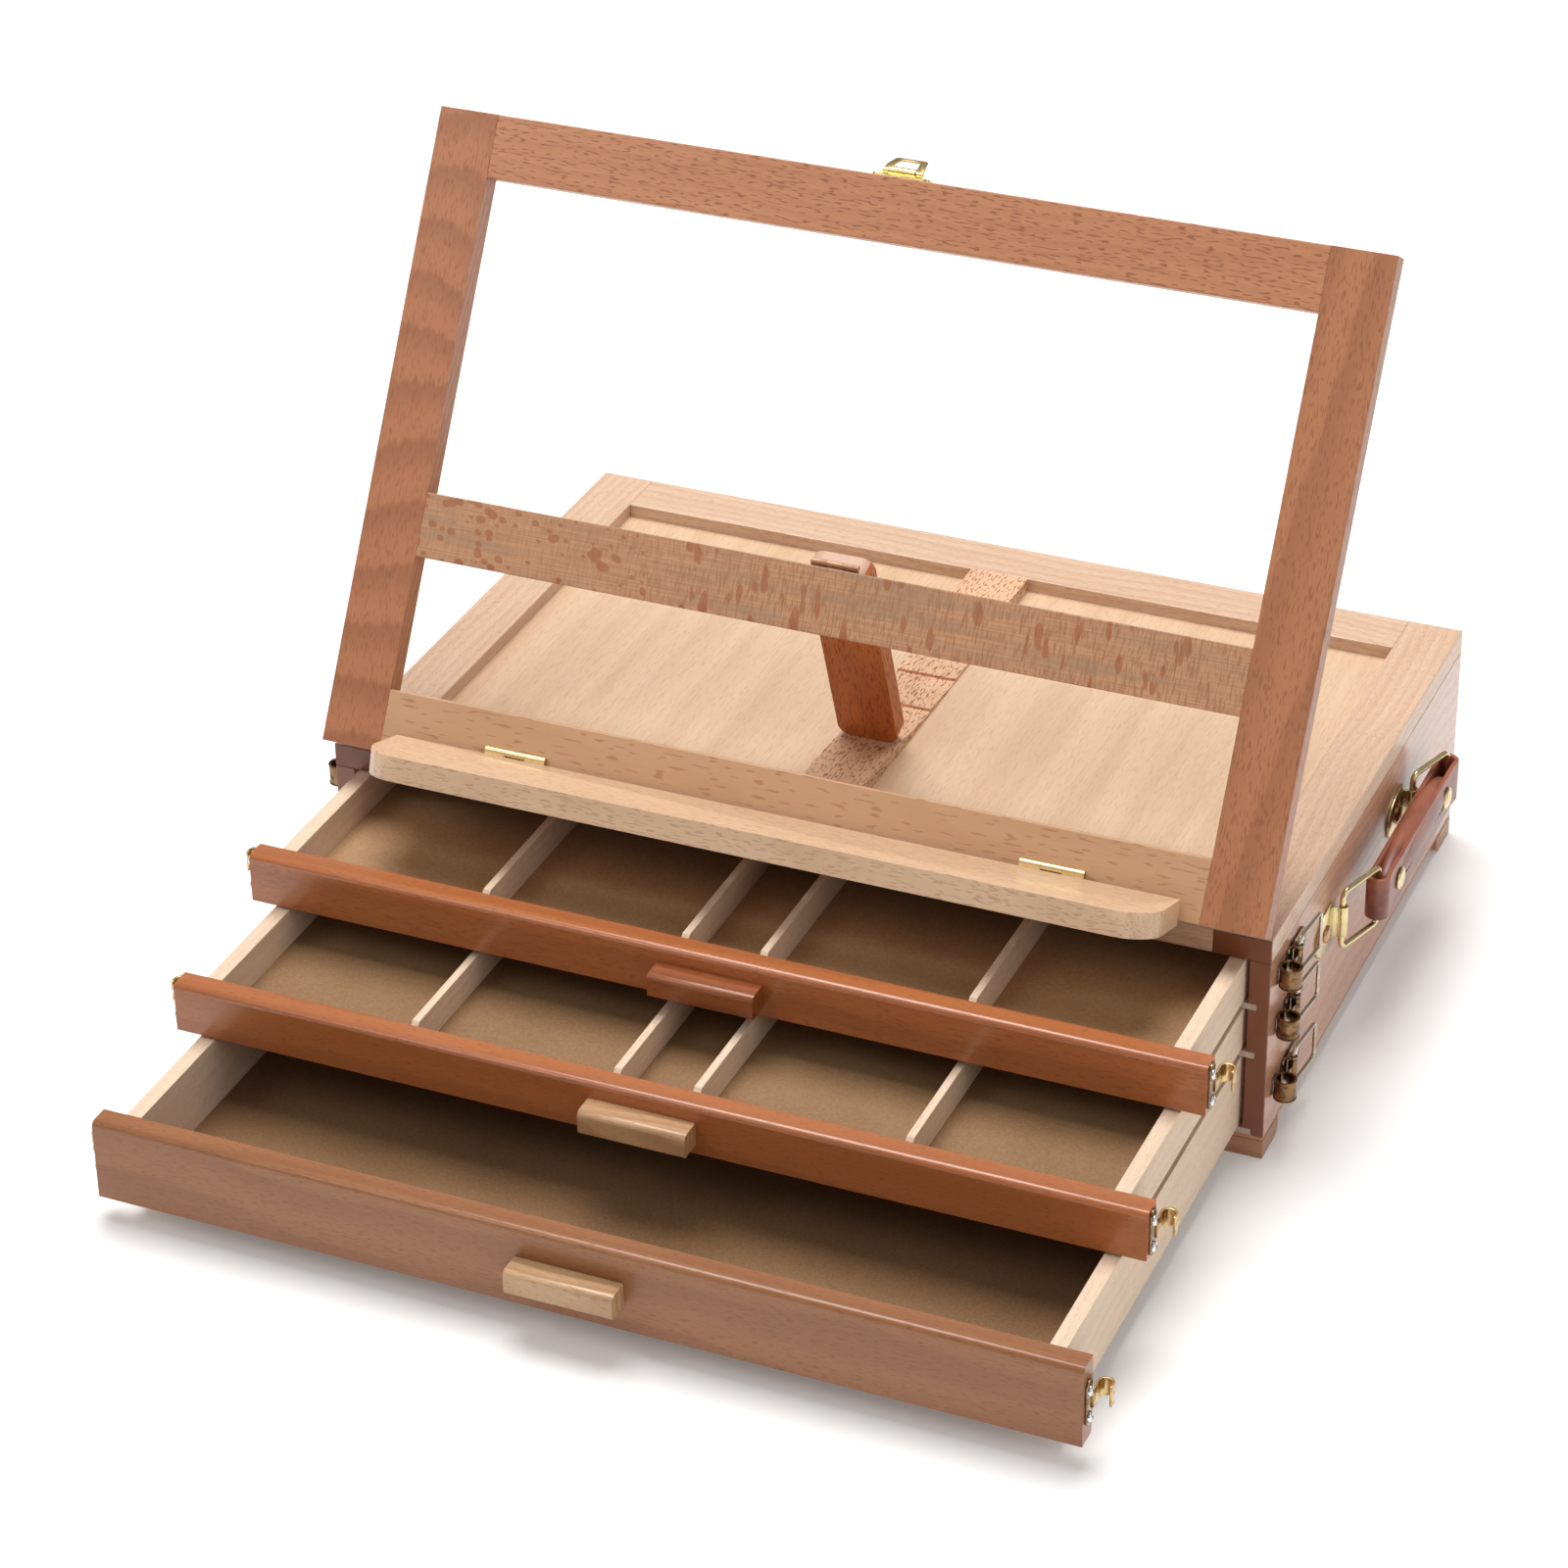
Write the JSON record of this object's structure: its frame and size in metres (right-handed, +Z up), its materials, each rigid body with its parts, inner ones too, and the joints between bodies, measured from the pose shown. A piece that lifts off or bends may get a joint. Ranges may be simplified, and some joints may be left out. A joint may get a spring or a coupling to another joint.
{
  "type": "table-top box easel",
  "caption": "Table-top wooden box easel with a hinged picture frame on a prop, a folding ledge, divided drawers, side latches and a strap handle.",
  "frame": {"origin": "centre of the case footprint on the plane under its feet", "axes": "+X towards the handle side, +Y from the drawer fronts to the back of the case, +Z up"},
  "size_m": [0.4269, 0.4822, 0.3334],
  "materials": {
    "case_wood": "varnished beech",
    "frame_wood": "varnished beech with short dark flecks",
    "ray_wood": "quarter-sawn, large ray flecks",
    "pale_wood": "raw pale beech",
    "panel_wood": "pale plywood",
    "front_wood": "gloss varnished",
    "hardboard": "speckled board",
    "prop_wood": "varnished reddish brown",
    "brass": "polished",
    "bronze": "antique, dark",
    "steel": "bright",
    "leather": "smooth with a padded crease"
  },
  "bodies": {
    "case": {"case_back": "case_wood", "case_base": "panel_wood", "case_centre_rail": "case_wood", "case_clasp_keeper": "brass", "case_drawer_runners": "pale_wood", "case_feet": "case_wood", "case_frame_hinges": "brass", "case_handle_mounts": "brass", "case_inset_panels": "panel_wood", "case_latch_bases": "bronze", "case_side_left": "case_wood", "case_side_right": "case_wood", "case_top_rail_back": "case_wood", "case_top_rail_front": "case_wood", "case_top_stiles": "case_wood"},
    "clasp_loop": {"clasp_loop": "brass"},
    "drawer_1": {"drawer_1_bottom": "hardboard", "drawer_1_dividers": "pale_wood", "drawer_1_front": "front_wood", "drawer_1_pull": "front_wood", "drawer_1_strikes": "bronze", "drawer_1_walls": "pale_wood"},
    "drawer_2": {"drawer_2_bottom": "hardboard", "drawer_2_dividers": "pale_wood", "drawer_2_front": "front_wood", "drawer_2_pull": "front_wood", "drawer_2_strikes": "bronze", "drawer_2_walls": "pale_wood"},
    "drawer_3": {"drawer_3_bottom": "hardboard", "drawer_3_front": "front_wood", "drawer_3_pull": "front_wood", "drawer_3_strikes": "bronze", "drawer_3_walls": "pale_wood"},
    "frame": {"frame_bottom_rail": "frame_wood", "frame_clasp_plate": "brass", "frame_hinge_leaves": "brass", "frame_mid_bar": "ray_wood", "frame_stile_left": "frame_wood", "frame_stile_right": "frame_wood", "frame_top_rail": "frame_wood"},
    "ring_front": {"handle_ring_front": "brass"},
    "ring_rear": {"handle_ring_rear": "brass"},
    "handle": {"handle_rivets": "brass", "handle_strap": "leather"},
    "latch_left_1_lever": {"latch_left_1_lever": "bronze"},
    "latch_left_1_loop": {"latch_left_1_loop": "steel"},
    "latch_left_2_lever": {"latch_left_2_lever": "bronze"},
    "latch_left_2_loop": {"latch_left_2_loop": "steel"},
    "latch_left_3_lever": {"latch_left_3_lever": "bronze"},
    "latch_left_3_loop": {"latch_left_3_loop": "steel"},
    "latch_right_1_lever": {"latch_right_1_lever": "bronze"},
    "latch_right_1_loop": {"latch_right_1_loop": "steel"},
    "latch_right_2_lever": {"latch_right_2_lever": "bronze"},
    "latch_right_2_loop": {"latch_right_2_loop": "steel"},
    "latch_right_3_lever": {"latch_right_3_lever": "bronze"},
    "latch_right_3_loop": {"latch_right_3_loop": "steel"},
    "ledge": {"ledge_board": "frame_wood", "ledge_hinge_leaves": "brass"},
    "prop": {"prop_arm": "prop_wood", "prop_hinge_leaf": "brass"}
  },
  "joints": [
    {"name": "drawer_1_slide", "type": "slide", "parent": "case", "child": "drawer_1", "axis": [0, -1, 0], "range_m": [-0.0651, 0.1399]},
    {"name": "drawer_2_slide", "type": "slide", "parent": "case", "child": "drawer_2", "axis": [0, -1, 0], "range_m": [-0.1291, 0.0759]},
    {"name": "drawer_3_slide", "type": "slide", "parent": "case", "child": "drawer_3", "axis": [0, -1, 0], "range_m": [-0.1951, 0.0099]},
    {"name": "frame_tilt", "type": "hinge", "parent": "case", "child": "frame", "pos_m": [0, -0.1328, 0.1006], "axis": [1, 0, 0], "range_deg": [-59.6, 2.5]},
    {"name": "prop_fold", "type": "hinge", "parent": "frame", "child": "prop", "pos_m": [0, -0.07854, 0.19607], "axis": [1, 0, 0], "range_deg": [-5.65, 130.05]},
    {"name": "ledge_fold", "type": "hinge", "parent": "frame", "child": "ledge", "pos_m": [0, -0.13777, 0.11685], "axis": [1, 0, 0], "range_deg": [-101.5, 0]},
    {"name": "clasp_swing", "type": "hinge", "parent": "frame", "child": "clasp_loop", "pos_m": [-0.0017, -0.00304, 0.33148], "axis": [1, 0, 0], "range_deg": [-20, 140]},
    {"name": "ring_front_swing", "type": "hinge", "parent": "case", "child": "ring_front", "pos_m": [0.2039, -0.0485, 0.062], "axis": [0, 0, -1], "range_deg": [0, 102]},
    {"name": "handle_pivot", "type": "hinge", "parent": "ring_front", "child": "handle", "pos_m": [0.21152, -0.02448, 0.062], "axis": [0, 0, -1], "range_deg": [-102, 0]},
    {"name": "ring_rear_swing", "type": "hinge", "parent": "case", "child": "ring_rear", "pos_m": [0.2039, 0.049, 0.062], "axis": [0, 0, -1], "range_deg": [0, 102]},
    {"name": "latch_left_1_throw", "type": "hinge", "parent": "case", "child": "latch_left_1_lever", "pos_m": [-0.2032, -0.106, 0.0792], "axis": [0, 0, 1], "range_deg": [-160, 0]},
    {"name": "latch_left_1_swing", "type": "hinge", "parent": "case", "child": "latch_left_1_loop", "pos_m": [-0.2032, -0.106, 0.0792], "axis": [0, 0, -1], "range_deg": [-175, 3]},
    {"name": "latch_left_2_throw", "type": "hinge", "parent": "case", "child": "latch_left_2_lever", "pos_m": [-0.2032, -0.106, 0.0565], "axis": [0, 0, 1], "range_deg": [-160, 0]},
    {"name": "latch_left_2_swing", "type": "hinge", "parent": "case", "child": "latch_left_2_loop", "pos_m": [-0.2032, -0.106, 0.0565], "axis": [0, 0, -1], "range_deg": [-175, 3]},
    {"name": "latch_left_3_throw", "type": "hinge", "parent": "case", "child": "latch_left_3_lever", "pos_m": [-0.2032, -0.106, 0.0277], "axis": [0, 0, 1], "range_deg": [-160, 0]},
    {"name": "latch_left_3_swing", "type": "hinge", "parent": "case", "child": "latch_left_3_loop", "pos_m": [-0.2032, -0.106, 0.0277], "axis": [0, 0, -1], "range_deg": [-175, 3]},
    {"name": "latch_right_1_throw", "type": "hinge", "parent": "case", "child": "latch_right_1_lever", "pos_m": [0.2032, -0.106, 0.0792], "axis": [0, 0, -1], "range_deg": [-160, 0]},
    {"name": "latch_right_1_swing", "type": "hinge", "parent": "case", "child": "latch_right_1_loop", "pos_m": [0.2032, -0.106, 0.0792], "axis": [0, 0, 1], "range_deg": [-175, 3]},
    {"name": "latch_right_2_throw", "type": "hinge", "parent": "case", "child": "latch_right_2_lever", "pos_m": [0.2032, -0.106, 0.0565], "axis": [0, 0, -1], "range_deg": [-160, 0]},
    {"name": "latch_right_2_swing", "type": "hinge", "parent": "case", "child": "latch_right_2_loop", "pos_m": [0.2032, -0.106, 0.0565], "axis": [0, 0, 1], "range_deg": [-175, 3]},
    {"name": "latch_right_3_throw", "type": "hinge", "parent": "case", "child": "latch_right_3_lever", "pos_m": [0.2032, -0.106, 0.0277], "axis": [0, 0, -1], "range_deg": [-160, 0]},
    {"name": "latch_right_3_swing", "type": "hinge", "parent": "case", "child": "latch_right_3_loop", "pos_m": [0.2032, -0.106, 0.0277], "axis": [0, 0, 1], "range_deg": [-175, 3]}
  ],
  "couplings": [
    {"joint": "prop_fold", "follows": "frame_tilt", "ratio": -2.1812},
    {"joint": "handle_pivot", "follows": "ring_front_swing", "ratio": -1},
    {"joint": "ring_rear_swing", "follows": "ring_front_swing", "ratio": 1}
  ]
}
